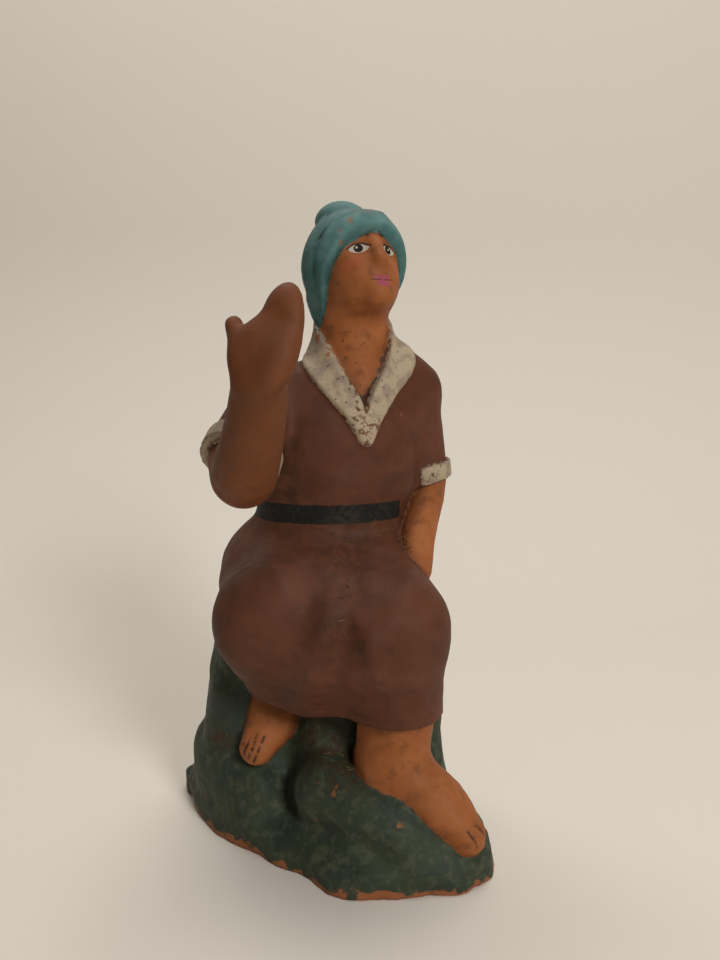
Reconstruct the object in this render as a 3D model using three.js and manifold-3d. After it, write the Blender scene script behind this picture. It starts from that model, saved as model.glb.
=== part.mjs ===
// A seated nativity figure of painted terracotta, moulded in one piece with its rock.
// It wears a knotted headscarf and a belted tunic, looks up and holds its right hand up in front of it.
// Millimetres. +Z is up, the lap faces -Y, and +X is the viewer's right, which is the figure's own left.
// The origin lies on the flat underside, about its middle.
import * as THREE from "three";
import { mergeVertices } from "three/addons/utils/BufferGeometryUtils.js";
import Module from "manifold-3d";

// Driving sizes
const HEAD_HEIGHT = 15; // chin to crown, without the scarf
const HEAD_WIDTH = 11.4;
const HEAD_DEPTH = 12.6;
const SCARF_THICKNESS = 0.9;
const NECK_RADIUS = 4.7;
const ELBOW_RADIUS = 3.9;
const WRIST_RADIUS = 3;
const SLEEVE_RADIUS = 4.8;
const THIGH_RADIUS = 8.6;
const KNEE_RADIUS = 7;
const CALF_RADIUS = 5.1;
const LAPEL_WIDTH = 4.6; // where it is broadest
const CUFF_WIDTH = 2.6;
const TRIM_RISE = 0.6; // of the lapels and cuffs
const HEM = 21.8; // height of the tunic's lower edge
const SHOULDER_TOP = 74;
const SCARF_END = 66;
const SEAT_TOP = 33;
const ROCK_RIM = 3.2; // height of the upright rim round the underside

// Where the joints of the body lie
const WAIST = [0.6, 3.6, 48.6];
const CHEST = [2.4, 3.2, 57.6];
const NECK = [3.4, 3, 69];
const HEAD = [4, 1.9, 80.4];
const RIGHT_SHOULDER = [-8, 0.4, 63];
const RIGHT_CUFF = [-10.6, -8.4, 55.4];
const RIGHT_ELBOW = [-9.2, -14, 54.4];
const RIGHT_FOREARM = [-7, -20.2, 60.8];
const RIGHT_WRIST = [-6, -23.3, 64.8];
const LEFT_SHOULDER = [11.6, 6.6, 63.8];
const LEFT_CUFF = [14, 7.4, 51];
const LEFT_ELBOW = [13.8, 7.6, 48.4];
const LEFT_WRIST = [12.3, 1.8, 43];
const LEFT_FINGERS = [12.1, -1.4, 39.8];
const RIGHT_HIP = [-6.2, 5.4, 37.8];
const RIGHT_KNEE = [-6.8, -7.6, 34.6];
const RIGHT_SHIN = [-7, 3, 22];
const RIGHT_INSTEP = [-7.9, 1.4, 17.4];
const RIGHT_TOES = [-9.9, -1.6, 14.2];
const LEFT_HIP = [5.4, 5.4, 37];
const LEFT_KNEE = [8.5, -8.4, 34];
const LEFT_SHIN = [9.4, -5.4, 22];
const LEFT_HEEL = [8.6, -4.6, 12.6];
const LEFT_INSTEP = [14.8, -8, 9.4];
const LEFT_TOES = [18.4, -10.2, 6.4];

const TORSO_TURN = 20; // degrees towards the figure's left
const HEAD_TURN = 28;
const HEAD_TILT = 18; // degrees of looking up

// Softness of the joins, as the mould leaves them
const CRISP = 0.6;
const SOFT = 1.6;
const DRAPED = 4;

const degrees = THREE.MathUtils.degToRad;
const mix = THREE.MathUtils.lerp;
const clamp = THREE.MathUtils.clamp;

// A form is a function of a point that gives its distance to the form's surface, below zero inside.
const join = (...forms) => (x, y, z) => Math.min(...forms.map((form) => form(x, y, z)));

// Further than this from a form, only a rough distance to it is needed.
const ROOM = 4;
const upTo = (top, form) => (x, y, z) => (z > top + ROOM ? z - top : form(x, y, z));
const upFrom = (bottom, form) => (x, y, z) => (z < bottom - ROOM ? bottom - z : form(x, y, z));

// Joins forms with a fillet, as wide as the softness.
const melt = (softness, first, ...others) => (x, y, z) =>
  others.reduce((near, form) => {
    const next = form(x, y, z);
    const overlap = Math.max(softness - Math.abs(near - next), 0) / softness;
    return Math.min(near, next) - (overlap * overlap * softness) / 4;
  }, first(x, y, z));

const keepInside = (form, limit) => (x, y, z) => Math.max(form(x, y, z), limit(x, y, z));

// Turns and moves a form: its own -Y is first tilted upwards, and then turned towards +X.
function placed(form, centre, { turn = 0, tilt = 0, roll = 0 } = {}) {
  const angles = new THREE.Euler(-degrees(tilt), degrees(roll), degrees(turn), "ZXY");
  const m = new THREE.Matrix4().makeRotationFromEuler(angles).elements;
  const [cx, cy, cz] = centre;
  return (x, y, z) => {
    const u = x - cx;
    const v = y - cy;
    const w = z - cz;
    return form(
      m[0] * u + m[1] * v + m[2] * w,
      m[4] * u + m[5] * v + m[6] * w,
      m[8] * u + m[9] * v + m[10] * w,
    );
  };
}

// An egg shape about its own origin.
const egg = ([rx, ry, rz]) => (x, y, z) => {
  const near = Math.hypot(x / rx, y / ry, z / rz);
  const slope = Math.hypot(x / (rx * rx), y / (ry * ry), z / (rz * rz));
  return slope > 0 ? (near * (near - 1)) / slope : -Math.min(rx, ry, rz);
};

// A boulder is an egg with flatter sides.
const SQUARENESS = 3;
const boulder = ([rx, ry, rz]) => (x, y, z) => {
  const sum = [x / rx, y / ry, z / rz].reduce((total, share) => total + Math.abs(share) ** SQUARENESS, 0);
  return (sum ** (1 / SQUARENESS) - 1) * Math.min(rx, ry, rz);
};

// A limb follows a smooth curve through its joints, and has a radius at each.
const STEPS_PER_JOINT = 5;
function limb(joints, radii) {
  const curve = new THREE.CatmullRomCurve3(joints.map((joint) => new THREE.Vector3(...joint)));
  const steps = joints.length > 2 ? (joints.length - 1) * STEPS_PER_JOINT : 1;
  const spine = Array.from({ length: steps + 1 }, (_, i) => {
    const along = (i / steps) * (radii.length - 1);
    const before = Math.min(Math.floor(along), radii.length - 2);
    const point = curve.getPoint(i / steps);
    return { point, radius: mix(radii[before], radii[before + 1], along - before) };
  });
  const bones = spine.slice(1).map((end, i) => {
    const start = spine[i];
    const way = end.point.clone().sub(start.point);
    return { start, end, way, lengthSq: way.lengthSq() };
  });
  const box = new THREE.Box3().setFromPoints(spine.map(({ point }) => point));
  const middle = box.getCenter(new THREE.Vector3());
  const reach = Math.max(...spine.map(({ point, radius }) => point.distanceTo(middle) + radius));
  return (x, y, z) => {
    const outside = Math.hypot(x - middle.x, y - middle.y, z - middle.z) - reach;
    if (outside > ROOM) return outside;
    let nearest = Infinity;
    for (const { start, end, way, lengthSq } of bones) {
      const u = x - start.point.x;
      const v = y - start.point.y;
      const w = z - start.point.z;
      const t = clamp((u * way.x + v * way.y + w * way.z) / lengthSq, 0, 1);
      const away = Math.hypot(u - t * way.x, v - t * way.y, w - t * way.z);
      nearest = Math.min(nearest, away - mix(start.radius, end.radius, t));
    }
    return nearest;
  };
}

// Folds raise the front of a form along paths as seen from the front.
// Where their height is below zero, they sink it.
function folded(form, folds) {
  const drawn = folds.map(({ path, height, width }) => {
    const near = limb(path.map(([x, z]) => [x, 0, z]), path.map(() => 0));
    return (x, z) => height * Math.exp(-((near(x, 0, z) / width) ** 2));
  });
  return (x, y, z) => {
    const distance = form(x, y, z);
    if (y > 0 || Math.abs(distance) > ROOM) return distance;
    return drawn.reduce((sum, fold) => sum - fold(x, z), distance);
  };
}

// Lumps and hollows of a height, repeated at about a length
function uneven(form, height, length) {
  const turns = (2 * Math.PI) / length;
  return (x, y, z) => {
    const [u, v, w] = [x * turns, y * turns, z * turns];
    const lump = Math.sin(u + 0.6 * w) * Math.sin(0.8 * v + 0.5 * u + 1) * Math.sin(0.9 * w - 0.4 * v + 2);
    return form(x, y, z) + height * lump;
  };
}

// How fast a form's distance grows along each axis
const SLOPE_REACH = 0.05;
const slopeOf = (form, point, value) =>
  point.map((_, axis) => {
    const moved = point.map((p, n) => (n === axis ? p + SLOPE_REACH : p));
    return (form(...moved) - value) / SLOPE_REACH;
  });

// A point moved onto a form's surface, and kept between two corners on the way
const SETTLING_ROUNDS = 3;
function settled(form, point, low, high) {
  for (let round = 0; round < SETTLING_ROUNDS; round++) {
    const value = form(...point);
    const slope = slopeOf(form, point, value);
    const steepness = Math.max(slope.reduce((sum, s) => sum + s * s, 0), 0.25);
    point = point.map((p, axis) => clamp(p - (value * slope[axis]) / steepness, low[axis], high[axis]));
  }
  return point;
}

// A band of cloth lies on a form: it follows a path and stands proud by the rise of the trim.
const ANYWHERE = [Infinity, Infinity, Infinity];
function ribbon(form, path, widths) {
  const spine = path.map((point) => settled(form, point, ANYWHERE.map((reach) => -reach), ANYWHERE));
  const near = limb(spine, widths.map((width) => width / 2));
  return (x, y, z) => {
    const beside = near(x, y, z);
    return beside > ROOM ? beside : Math.max(form(x, y, z) - TRIM_RISE, beside);
  };
}

// The point at a share of the way from one point to another, and a point moved aside
const between = (a, b, share) => a.map((value, axis) => mix(value, b[axis], share));
const shifted = (point, ...move) => point.map((value, axis) => value + move[axis]);

// The outline of the underside, clockwise seen from above, from the left end of the front
const BASE_OUTLINE = [
  [-23.6, 12.4], [-17.6, 6], [-12, -2.2], [-4.6, -9.2], [2.4, -14.2], [11.6, -14.4],
  [20, -12.2], [22.8, -7.6], [20.6, 4], [17, 13.4], [6, 16.6], [-8, 16.6], [-20.4, 16.6],
];

// The rock: a mound over the base's outline, with boulders for the seat and the feet
function rock() {
  const points = BASE_OUTLINE.map(([x, y]) => new THREE.Vector3(x, y, 0));
  const outline = new THREE.CatmullRomCurve3(points, true).getPoints(4 * points.length);
  const sides = outline.slice(1).map((end, i) => ({ start: outline[i], way: end.clone().sub(outline[i]) }));
  // Distance to the outline in plan, below zero inside it
  const plan = (x, y) => {
    let nearest = Infinity;
    let inside = false;
    for (const { start, way } of sides) {
      const u = x - start.x;
      const v = y - start.y;
      const t = clamp((u * way.x + v * way.y) / way.lengthSq(), 0, 1);
      nearest = Math.min(nearest, Math.hypot(u - t * way.x, v - t * way.y));
      if (v < 0 !== v < way.y && u < (way.x * v) / way.y) inside = !inside;
    }
    return inside ? -nearest : nearest;
  };
  const RIM_LEAN = 0.1;
  const SLOPE = 1.1; // how far the mound draws in for each millimetre that it rises
  const CREST = 13.6;
  const BELOW = 3; // the rock runs on below the floor, where the underside is cut flat
  const LEFT_BANK = [[0.5, -4.5, 9.5], [6, -7.8, 8.4], [12, -9.4, 5.2], [17.2, -9.6, 2]];
  const LUMP_HEIGHT = 0.4;
  const LUMP_LENGTH = 11;
  const mound = (x, y, z) => {
    const rise = Math.max(z - ROCK_RIM, 0);
    const inset = RIM_LEAN * Math.max(z, 0) + SLOPE * rise;
    return (plan(x, y) + inset) / (rise > 0 ? Math.hypot(1, SLOPE) : 1);
  };
  const boulders = melt(
    2,
    keepInside(mound, (x, y, z) => z - CREST),
    placed(boulder([7.6, 8, 15.6]), [-11.2, 9, 15.4], { turn: 10, roll: 4 }), // left end of the seat
    placed(boulder([6.4, 6.2, 9]), [-14.8, 9.6, 5], { turn: 14 }), // foot of that end
    placed(boulder([14, 8, 17]), [1, 9, 12.6], { turn: -4 }), // seat
    placed(boulder([7.2, 6.6, 9.4]), [-10.6, 3.6, 3], { turn: -40 }), // ledge under the right foot
    placed(egg([6, 7, 13]), [0.8, 3.2, 11.6]), // boulder between the feet
    limb(LEFT_BANK, [5, 4.6, 4, 3]), // before the left foot
    limb([[10.2, 3.8, 22], [10.8, 3.2, 8]], [5.2, 6.4]), // rock behind the left calf
  );
  return keepInside(uneven(boulders, LUMP_HEIGHT, LUMP_LENGTH), (x, y, z) => -BELOW - z);
}

// The head has its own axes: -Y out of the face and Z through the crown.
function head() {
  const skull = placed(egg([HEAD_WIDTH / 2, HEAD_DEPTH / 2, 0.4 * HEAD_HEIGHT]), [0, 0.7, 1.5]);
  const jaw = placed(egg([0.38 * HEAD_WIDTH, 0.36 * HEAD_DEPTH, 0.3 * HEAD_HEIGHT]), [0, -1.7, -3.2]);
  const chin = placed(egg([1.9, 1.6, 1.5]), [0, -4.7, -6]);
  const nose = limb([[0, -5.6, 0.9], [0, -6.5, -1.7]], [0.5, 0.9]);
  return melt(1.2, melt(2.4, skull, jaw), chin, nose);
}

function scarf() {
  const cap = placed(
    egg([HEAD_WIDTH / 2, HEAD_DEPTH / 2, 0.4 * HEAD_HEIGHT].map((radius) => radius + SCARF_THICKNESS)),
    [0, 0.9, 0.9],
  );
  const nape = limb([[0, 3.4, 0], [0, 3.4, -5], [0, 0.6, -9.4]], [5.3, 4.6, 4.4]);
  const around = melt(2, cap, nape);
  // The cloth ends along a slanting plane, above the brow and behind the cheeks.
  const covered = (y, z) => 0.72 * (y + 5.9) + 0.69 * (z - 2.3);
  const hood = keepInside(around, (x, y, z) => -covered(y, z));
  const roll = keepInside(
    (x, y, z) => around(x, y, z) - 0.5,
    (x, y, z) => Math.abs(covered(y, z) - 1.6) - 1.6,
  );
  const knot = placed(egg([3.7, 3.8, 2.7]), [0.2, 2.3, 7.5], { turn: 12, tilt: -14 });
  return melt(0.8, join(hood, roll), knot);
}

// A sleeve ends flat, in a raised cuff.
function sleeve(shoulder, end, topRadius, endRadius) {
  const way = new THREE.Vector3(...end).sub(new THREE.Vector3(...shoulder)).normalize();
  const past = (x, y, z) => (x - end[0]) * way.x + (y - end[1]) * way.y + (z - end[2]) * way.z;
  const beyond = shifted(end, ...way.clone().multiplyScalar(endRadius));
  const tube = limb([shoulder, beyond], [topRadius, endRadius]);
  const cuff = keepInside(
    (x, y, z) => tube(x, y, z) - TRIM_RISE,
    (x, y, z) => Math.abs(past(x, y, z) + CUFF_WIDTH / 2) - CUFF_WIDTH / 2,
  );
  return join(keepInside(tube, past), cuff);
}

// Folds of the skirt, as [x, z] paths seen from the front
const SKIRT_FOLDS = [
  { path: [[1.2, 38.4], [-0.6, 32.8], [-3, 23.6]], height: 0.6, width: 1.9 }, // hangs between the knees
  { path: [[3.7, 45.3], [3.7, 41.9], [3.5, 38.4], [2.2, 34], [1.2, 28]], height: -0.6, width: 1.7 },
  { path: [[10.9, 40.8], [7.3, 35.5], [6, 33.9]], height: 0.45, width: 1.5 }, // over the left thigh
  { path: [[3.5, 38.2], [5.9, 34.2], [6.4, 30]], height: 0.45, width: 1.5 }, // meets it in a V
  { path: [[-7.6, 43.8], [-5, 41.2]], height: 0.4, width: 1.3 }, // over the right thigh
];

// The tunic, without the collar and its opening
function tunic() {
  const chest = placed(egg([11.2, 7.8, 10.6]), CHEST, { turn: TORSO_TURN });
  const belly = placed(egg([10.4, 7.8, 8]), WAIST, { turn: TORSO_TURN / 2 });
  const blouse = limb([shifted(WAIST, 0.4, -5.2, 3.4), shifted(WAIST, 8.4, -2.6, 3.4)], [2.4, 2.2]);
  const shoulders = limb(
    [RIGHT_SHOULDER, shifted(NECK, -0.4, 0.6, -4.8), shifted(NECK, 5.2, 1.4, -3.2), LEFT_SHOULDER],
    [4.2, 4.8, 4.6, 4.2],
  );
  const yoke = limb([shifted(NECK, -0.4, 1.6, -7), shifted(NECK, 0.2, 1.6, -1.4)], [7, 5.6]);
  const rightSleeve = sleeve(RIGHT_SHOULDER, RIGHT_CUFF, SLEEVE_RADIUS - 0.6, SLEEVE_RADIUS);
  const leftSleeve = sleeve(LEFT_SHOULDER, LEFT_CUFF, SLEEVE_RADIUS - 0.8, SLEEVE_RADIUS - 1.6);
  const pelvis = placed(egg([12.4, 9.6, 9.4]), [-1.2, 5.8, 38]);
  const seat = placed(boulder([12.2, 8.8, 7.4]), [-1, 6.6, 33]);
  const rightThigh = limb([RIGHT_HIP, RIGHT_KNEE], [THIGH_RADIUS, KNEE_RADIUS]);
  const leftThigh = limb([LEFT_HIP, LEFT_KNEE], [THIGH_RADIUS - 1.2, KNEE_RADIUS - 0.2]);
  const rightDrape = limb([RIGHT_KNEE, RIGHT_SHIN], [KNEE_RADIUS - 0.4, 4.8]);
  const leftDrape = limb(
    [LEFT_KNEE, shifted(LEFT_KNEE, 0.4, 0.8, -6), shifted(LEFT_SHIN, 0, -1, 0)],
    [KNEE_RADIUS - 0.4, KNEE_RADIUS - 0.5, KNEE_RADIUS - 0.9],
  );
  // Between the knees the cloth spans the lap, and then hangs down to the hem.
  const lap = limb([[2, 3, 38], [1.2, -8.2, 34.4], [0, -5.8, 28], [-1.6, -1.8, 22]], [8.2, 7.2, 6.2, 5]);
  const skirt = melt(DRAPED, pelvis, seat, rightThigh, leftThigh, rightDrape, leftDrape, lap);
  const bodice = melt(SOFT, melt(2, chest, shoulders, yoke), rightSleeve, leftSleeve);
  const whole = melt(3, bodice, belly, blouse, folded(skirt, SKIRT_FOLDS));
  return keepInside(whole, (x, y, z) => HEM - z);
}

function skin() {
  const neck = limb(
    [shifted(NECK, -0.2, 0.4, -5), NECK, between(NECK, HEAD, 0.7)],
    [NECK_RADIUS + 1.4, NECK_RADIUS + 0.3, NECK_RADIUS - 0.2],
  );
  const rightArm = limb(
    [RIGHT_CUFF, RIGHT_ELBOW, RIGHT_FOREARM, RIGHT_WRIST],
    [ELBOW_RADIUS, ELBOW_RADIUS, between([ELBOW_RADIUS], [WRIST_RADIUS], 0.6)[0], WRIST_RADIUS],
  );
  const leftArm = limb([LEFT_CUFF, LEFT_ELBOW, LEFT_WRIST, LEFT_FINGERS], [3.1, 3, 2.6, 2.2]);
  const rightLeg = limb([RIGHT_KNEE, RIGHT_SHIN, RIGHT_INSTEP, RIGHT_TOES], [CALF_RADIUS, 4.3, 3.8, 2.5]);
  const leftLeg = limb([LEFT_KNEE, LEFT_SHIN, LEFT_HEEL], [CALF_RADIUS, CALF_RADIUS, CALF_RADIUS]);
  const leftFoot = limb([LEFT_HEEL, LEFT_INSTEP, LEFT_TOES], [CALF_RADIUS - 0.3, 4, 2.7]);
  return melt(
    SOFT,
    placed(head(), HEAD, { turn: HEAD_TURN, tilt: HEAD_TILT }),
    neck,
    rightArm,
    raisedHand(),
    leftArm,
    rightLeg,
    leftLeg,
    leftFoot,
  );
}

// The raised hand has its own axes: Z towards the fingertips and -Y out of the back of the hand.
function raisedHand() {
  const palm = placed(egg([3.7, 2, 4.2]), [0.2, 0, -1]);
  const fingers = placed(egg([2.6, 1.6, 5.4]), [1.4, 0.3, 1.6]);
  const thumb = limb([[-1.9, 0, -1.6], [-4, 0.3, 2]], [1.3, 0.9]);
  const middle = shifted(RIGHT_WRIST, 0.6, -1.8, 4.4);
  return placed(melt(1, palm, fingers, thumb), middle, { turn: -20, tilt: 16, roll: 6 });
}

// The opening at the neck is a V, down to the collar's tip.
const OPENING = [[4.2, 0.5, 69.4], [4.7, -3.2, 66.4], [5, -4, 63.2], [5.1, -4.4, 60.4]];
const opening = limb(OPENING, [3, 2.3, 1.3, 0.5]);

// Two lapels run from the sides of the neck to one tip on the chest, and a band joins them behind the neck.
function collar(cloth) {
  const LEFT_SIDE = [8, 5, 72.6];
  const RIGHT_SIDE = [-1.4, 3, 72.2];
  const TIP = [5.6, -4.8, 57.8];
  const leftLapel = [LEFT_SIDE, [10.2, 0.8, 68.8], [8.8, -2.8, 64.8], [6.9, -4.6, 61.2], TIP];
  const rightLapel = [RIGHT_SIDE, [-2.2, -1.4, 69.6], [0.6, -3.6, 66], [3.6, -4.6, 62], TIP];
  const behindNeck = [RIGHT_SIDE, [0.4, 7.6, 69.4], [5.8, 8.4, 69.4], LEFT_SIDE];
  const widths = (...shares) => shares.map((share) => share * LAPEL_WIDTH);
  return join(
    ribbon(cloth, leftLapel, widths(0.7, 0.9, 0.75, 0.55, 0.4)),
    ribbon(cloth, rightLapel, widths(0.7, 1, 0.85, 0.65, 0.4)),
    ribbon(cloth, behindNeck, widths(0.7, 1, 1, 0.7)),
  );
}

function figure() {
  const BARE_DEPTH = 0.5; // of the bare chest below the cloth, in the opening
  const whole = tunic();
  const cloth = upTo(SHOULDER_TOP, keepInside(whole, (x, y, z) => -opening(x, y, z)));
  const chest = keepInside((x, y, z) => whole(x, y, z) + BARE_DEPTH, opening);
  const flesh = join(skin(), chest);
  const kerchief = upFrom(SCARF_END, placed(scarf(), HEAD, { turn: HEAD_TURN, tilt: HEAD_TILT }));
  const dressed = melt(CRISP, join(flesh, cloth), collar(melt(SOFT, cloth, flesh)));
  return join(melt(CRISP, upTo(SEAT_TOP, rock()), cloth), dressed, kerchief);
}

// Lines of the sampling grid along one axis, closer together where the carving is fine
function gridLines(low, high, stepAt) {
  const lines = [low];
  while (lines.at(-1) < high) lines.push(lines.at(-1) + stepAt(lines.at(-1)));
  return lines;
}

// The eight corners of a cell of the grid, and its twelve edges
const CORNERS = [0, 1, 2, 3, 4, 5, 6, 7].map((n) => [n & 1, (n >> 1) & 1, n >> 2]);
const EDGES = [1, 2, 4].flatMap((bit) => CORNERS.map((_, n) => [n, n | bit]).filter(([n]) => !(n & bit)));

// A cell is pinched where its corners inside the form, or those outside it, don't hang together along edges.
function isPinched(signs) {
  const groups = CORNERS.map((_, n) => n);
  for (let round = 0; round < CORNERS.length; round++)
    for (const [m, n] of EDGES)
      if (((signs >> m) & 1) === ((signs >> n) & 1)) groups[m] = groups[n] = Math.min(groups[m], groups[n]);
  return new Set(groups).size > 2;
}
const PINCHED = Array.from({ length: 256 }, (_, signs) => isPinched(signs));

const middleOf = (places) =>
  [0, 1, 2].map((axis) => places.reduce((sum, place) => sum + place[axis], 0) / places.length);

// Samples a form on a grid, and joins the points where its sign changes into one closed skin.
const EVENING_ROUNDS = 3;
function skinOf(form, xs, ys, zs) {
  const at = (i, j, k) => (k * ys.length + j) * xs.length + i;
  const samples = new Float64Array(xs.length * ys.length * zs.length);
  const fill = (y, j, z, k) => xs.forEach((x, i) => (samples[at(i, j, k)] = form(x, y, z)));
  zs.forEach((z, k) => ys.forEach((y, j) => fill(y, j, z, k)));
  const steps = CORNERS.map(([a, b, c]) => at(a, b, c));
  const signsAt = (cell) => steps.reduce((signs, step, n) => signs | ((samples[cell + step] < 0) << n), 0);
  const row = (j, k) => xs.slice(1).map((_, i) => [i, j, k]);
  const cells = zs.slice(1).flatMap((_, k) => ys.slice(1).flatMap((_, j) => row(j, k)));

  // Clay fills a pinched cell, from its nearest outer corner on, so that the skin never touches itself.
  const FILL = 1e-3;
  let pinched = cells;
  while (pinched.length) {
    pinched = cells.filter(([i, j, k]) => PINCHED[signsAt(at(i, j, k))]);
    for (const [i, j, k] of pinched) {
      const outer = steps.map((step) => at(i, j, k) + step).filter((n) => samples[n] >= 0);
      if (PINCHED[signsAt(at(i, j, k))]) samples[outer.sort((m, n) => samples[m] - samples[n])[0]] = -FILL;
    }
  }

  // One point for each cell that the surface crosses, in the middle of the crossings
  const points = [];
  const pointOf = new Map();
  for (const [i, j, k] of cells) {
    const cell = at(i, j, k);
    const signs = signsAt(cell);
    if (signs === 0 || signs === 255) continue;
    const low = [xs[i], ys[j], zs[k]];
    const high = [xs[i + 1], ys[j + 1], zs[k + 1]];
    const crossings = EDGES.filter(([m, n]) => ((signs >> m) & 1) !== ((signs >> n) & 1)).map(([m, n]) => {
      const share = samples[cell + steps[m]] / (samples[cell + steps[m]] - samples[cell + steps[n]]);
      return CORNERS[m].map((from, axis) => mix(low[axis], high[axis], mix(from, CORNERS[n][axis], share)));
    });
    pointOf.set(cell, points.length);
    points.push({ place: middleOf(crossings), low, high, neighbours: new Set() });
  }

  // A four-sided facet round each grid edge that the surface crosses
  const facets = [];
  for (const [i, j, k] of cells) {
    if (!i || !j || !k) continue;
    const inside = samples[at(i, j, k)] < 0;
    [[1, 0, 0], [0, 1, 0], [0, 0, 1]].forEach((along, axis) => {
      if (inside === samples[at(i + along[0], j + along[1], k + along[2])] < 0) return;
      const across = (axis + 1) % 3;
      const upward = (axis + 2) % 3;
      const round = [[1, 1], [0, 1], [0, 0], [1, 0]].map(([p, q]) => {
        const cell = [i, j, k];
        cell[across] -= p;
        cell[upward] -= q;
        return pointOf.get(at(...cell));
      });
      round.forEach((point, n) => points[point].neighbours.add(round[(n + 1) % 4]));
      round.forEach((point, n) => points[point].neighbours.add(round[(n + 3) % 4]));
      facets.push(inside ? round : round.reverse());
    });
  }

  // The points are drawn together evenly and settled on the surface, each within its own cell.
  for (let round = 0; round < EVENING_ROUNDS; round++) {
    const drawn = points.map(({ neighbours }) => middleOf([...neighbours].map((n) => points[n].place)));
    points.forEach((point, n) => (point.place = settled(form, drawn[n], point.low, point.high)));
  }

  // Each facet is parted by its shorter diagonal.
  const gap = (m, n) => Math.hypot(...points[m].place.map((value, axis) => value - points[n].place[axis]));
  const index = facets.flatMap(([a, b, c, d]) =>
    gap(a, c) < gap(b, d) ? [a, b, c, a, c, d] : [b, c, d, b, d, a],
  );
  return new THREE.BufferGeometry()
    .setAttribute("position", new THREE.Float32BufferAttribute(points.flatMap(({ place }) => place), 3))
    .setIndex(index);
}

const wasm = await Module();
wasm.setup();

function solidOf(geometry) {
  return new wasm.Manifold(
    new wasm.Mesh({
      numProp: 3,
      vertProperties: new Float32Array(geometry.getAttribute("position").array),
      triVerts: new Uint32Array(geometry.getIndex().array),
    }),
  );
}

function geometryOf(solid) {
  const mesh = solid.getMesh();
  return new THREE.BufferGeometry()
    .setAttribute("position", new THREE.BufferAttribute(mesh.vertProperties, 3))
    .setIndex(new THREE.BufferAttribute(mesh.triVerts, 1));
}

// The floor takes away whatever reaches below it, which leaves the underside flat.
const floor = new THREE.BoxGeometry(80, 80, 20).translate(0, 0, -10);
floor.deleteAttribute("uv");
floor.deleteAttribute("normal");
const carved = skinOf(
  figure(),
  gridLines(-28, 26, (x) => (x > -13 && x < 10 ? 1.35 : 2.1)),
  gridLines(-33, 22, (y) => (y < -20 ? 1.35 : 1.9)),
  gridLines(-6, 94, (z) => (z > 60 ? 1.2 : 1.95)),
);
const shells = solidOf(carved).subtract(solidOf(mergeVertices(floor))).decompose();
// The largest shell is the outer one: a hollow sealed in the clay is filled.
const [solid] = shells.sort((a, b) => b.volume() - a.volume());

const terracotta = new THREE.MeshStandardMaterial({ color: 0x6f4330, roughness: 0.85, metalness: 0 });
const body = new THREE.Mesh(geometryOf(solid), terracotta);
body.name = "figure";

export default new THREE.Group().add(body);
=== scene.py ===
"""A small moulded and painted clay crib figure: a seated herdsman with a raised hand, on a green rock.

The figure is one clay piece.  Its forms are eggs, boulders and limbs written as distance fields in
millimetres, the same as in the part, with finer relief added.  One fine skin is drawn round them, and
the paint is laid on by how near each point of the skin lies to each form.
"""

import math

import bpy
import numpy as np
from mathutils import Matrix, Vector


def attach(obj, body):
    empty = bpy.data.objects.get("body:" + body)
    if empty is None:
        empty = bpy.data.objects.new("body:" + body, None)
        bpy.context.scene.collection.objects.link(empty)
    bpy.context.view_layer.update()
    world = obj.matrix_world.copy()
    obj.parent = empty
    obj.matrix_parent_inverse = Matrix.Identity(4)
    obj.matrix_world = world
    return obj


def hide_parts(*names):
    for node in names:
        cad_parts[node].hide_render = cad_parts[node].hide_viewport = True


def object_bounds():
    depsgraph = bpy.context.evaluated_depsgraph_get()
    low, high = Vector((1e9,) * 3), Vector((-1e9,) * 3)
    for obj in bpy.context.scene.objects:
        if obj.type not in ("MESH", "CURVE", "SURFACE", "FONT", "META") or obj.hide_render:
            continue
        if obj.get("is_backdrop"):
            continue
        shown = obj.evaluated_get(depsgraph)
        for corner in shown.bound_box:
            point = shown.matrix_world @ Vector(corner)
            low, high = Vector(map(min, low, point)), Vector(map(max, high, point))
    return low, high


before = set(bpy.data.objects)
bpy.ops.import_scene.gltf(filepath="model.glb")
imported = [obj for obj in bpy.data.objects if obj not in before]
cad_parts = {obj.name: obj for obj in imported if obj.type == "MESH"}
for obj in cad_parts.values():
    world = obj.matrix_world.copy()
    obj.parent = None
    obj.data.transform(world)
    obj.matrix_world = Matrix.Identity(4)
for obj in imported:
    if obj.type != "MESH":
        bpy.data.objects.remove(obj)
box_at_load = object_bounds()

# Finer relief than the part's, of the clay and of what is pressed into it

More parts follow.
